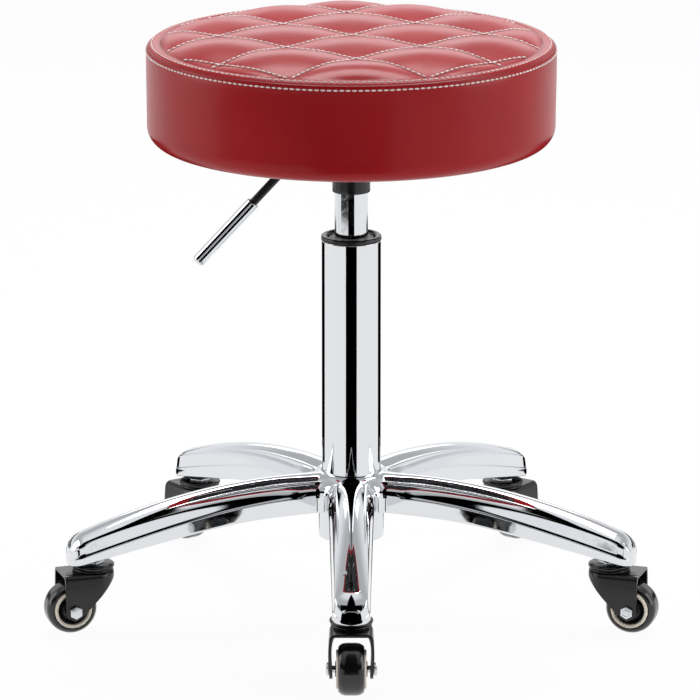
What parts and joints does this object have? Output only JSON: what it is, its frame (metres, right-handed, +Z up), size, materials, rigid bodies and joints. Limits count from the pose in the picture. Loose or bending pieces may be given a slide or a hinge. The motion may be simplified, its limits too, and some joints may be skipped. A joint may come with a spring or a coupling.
{
  "type": "rolling stylist stool",
  "caption": "Round upholstered stool on a gas lift with a height lever, a five-star base and swivel casters.",
  "frame": {"origin": "middle of the footprint's bounding box, on the floor; the column stands 23.4 mm behind it, at Y +0.0234", "axes": "+Z up; -Y is the front, where one arm of the base points; the height lever lies towards -X"},
  "size_m": [0.5174, 0.4928, 0.5],
  "materials": {
    "red_leather": "semi-gloss red upholstery leather",
    "foam": "open cell seat foam",
    "plywood": "raw plywood",
    "black_lining": "black non-woven lining",
    "black_steel": "gloss black paint",
    "black_plastic": "gloss black",
    "pale_nylon": "natural nylon",
    "cream_nylon": "cream nylon",
    "chrome": "mirror chrome plating",
    "zinc_steel": "zinc plated",
    "bearing_steel": "ground steel",
    "aluminium": "machined",
    "rubber": "matt black rubber",
    "tyre": "gloss black polyurethane"
  },
  "bodies": {
    "base": {"five_star_base": "chrome", "outer_tube": "chrome", "ring_cap": "black_plastic", "guide_bush": "pale_nylon", "lower_race": "bearing_steel", "caster_stem_1": "black_steel", "caster_stem_2": "black_steel", "caster_stem_3": "black_steel", "caster_stem_4": "black_steel", "caster_stem_5": "black_steel"},
    "lift_rod": {"piston_rod": "zinc_steel", "piston": "aluminium", "piston_seal": "rubber", "upper_race": "bearing_steel", "thrust_bearing": "bearing_steel", "bump_stop": "rubber", "rod_clip": "zinc_steel"},
    "seat": {"seat_cover": "red_leather", "seat_foam": "foam", "seat_board": "plywood", "dust_cover": "black_lining", "seat_plate": "black_steel", "seat_screw_1": "zinc_steel", "seat_screw_2": "zinc_steel", "seat_screw_3": "zinc_steel", "seat_screw_4": "zinc_steel", "lever_channel": "black_steel", "socket_tube": "black_steel", "lever_pin": "zinc_steel", "pressure_tube": "chrome", "valve_block": "aluminium", "rod_guide": "black_plastic"},
    "lever": {"lever_rod": "black_steel", "lever_handle": "chrome"},
    "valve": {"valve_button": "black_plastic"},
    "caster_1": {"caster_fork_1": "black_steel", "axle_bolt_1": "zinc_steel", "axle_nut_1": "zinc_steel"},
    "wheel_1": {"caster_tyre_1": "tyre", "wheel_core_1": "cream_nylon"},
    "caster_2": {"caster_fork_2": "black_steel", "axle_bolt_2": "zinc_steel", "axle_nut_2": "zinc_steel"},
    "wheel_2": {"caster_tyre_2": "tyre", "wheel_core_2": "cream_nylon"},
    "caster_3": {"caster_fork_3": "black_steel", "axle_bolt_3": "zinc_steel", "axle_nut_3": "zinc_steel"},
    "wheel_3": {"caster_tyre_3": "tyre", "wheel_core_3": "cream_nylon"},
    "caster_4": {"caster_fork_4": "black_steel", "axle_bolt_4": "zinc_steel", "axle_nut_4": "zinc_steel"},
    "wheel_4": {"caster_tyre_4": "tyre", "wheel_core_4": "cream_nylon"},
    "caster_5": {"caster_fork_5": "black_steel", "axle_bolt_5": "zinc_steel", "axle_nut_5": "zinc_steel"},
    "wheel_5": {"caster_tyre_5": "tyre", "wheel_core_5": "cream_nylon"}
  },
  "joints": [
    {"name": "seat_swivel", "type": "hinge", "parent": "base", "child": "lift_rod", "pos_m": [0, 0.02337, 0.0732], "axis": [0, 0, 1], "continuous": true},
    {"name": "seat_lift", "type": "slide", "parent": "lift_rod", "child": "seat", "axis": [0, 0, 1], "range_m": [0, 0.12]},
    {"name": "height_lever", "type": "hinge", "parent": "seat", "child": "lever", "pos_m": [-0.02, 0.02337, 0.394], "axis": [0, 1, 0], "range_deg": [0, 8], "stiffness_Nm_per_rad": 1.5, "springref_deg": -8.59},
    {"name": "valve_press", "type": "slide", "parent": "seat", "child": "valve", "axis": [0, 0, -1], "range_m": [0, 0.0036]},
    {"name": "caster_swivel_1", "type": "hinge", "parent": "base", "child": "caster_1", "pos_m": [0, -0.20463, 0.054], "axis": [0, 0, 1], "continuous": true},
    {"name": "wheel_spin_1", "type": "hinge", "parent": "caster_1", "child": "wheel_1", "pos_m": [0, -0.22493, 0.0215], "axis": [1, 0, 0], "continuous": true},
    {"name": "caster_swivel_2", "type": "hinge", "parent": "base", "child": "caster_2", "pos_m": [0.21684, -0.04708, 0.054], "axis": [0, 0, 1], "continuous": true},
    {"name": "wheel_spin_2", "type": "hinge", "parent": "caster_2", "child": "wheel_2", "pos_m": [0.23615, -0.05336, 0.0215], "axis": [0.309, 0.9511, 0], "continuous": true},
    {"name": "caster_swivel_3", "type": "hinge", "parent": "base", "child": "caster_3", "pos_m": [0.13401, 0.20783, 0.054], "axis": [0, 0, 1], "continuous": true},
    {"name": "wheel_spin_3", "type": "hinge", "parent": "caster_3", "child": "wheel_3", "pos_m": [0.14595, 0.22425, 0.0215], "axis": [-0.809, 0.5878, 0], "continuous": true},
    {"name": "caster_swivel_4", "type": "hinge", "parent": "base", "child": "caster_4", "pos_m": [-0.13401, 0.20783, 0.054], "axis": [0, 0, 1], "continuous": true},
    {"name": "wheel_spin_4", "type": "hinge", "parent": "caster_4", "child": "wheel_4", "pos_m": [-0.14595, 0.22425, 0.0215], "axis": [-0.809, -0.5878, 0], "continuous": true},
    {"name": "caster_swivel_5", "type": "hinge", "parent": "base", "child": "caster_5", "pos_m": [-0.21684, -0.04708, 0.054], "axis": [0, 0, 1], "continuous": true},
    {"name": "wheel_spin_5", "type": "hinge", "parent": "caster_5", "child": "wheel_5", "pos_m": [-0.23615, -0.05336, 0.0215], "axis": [0.309, -0.9511, 0], "continuous": true}
  ],
  "couplings": [
    {"joint": "valve_press", "follows": "height_lever", "m_per_rad": 0.0256}
  ]
}
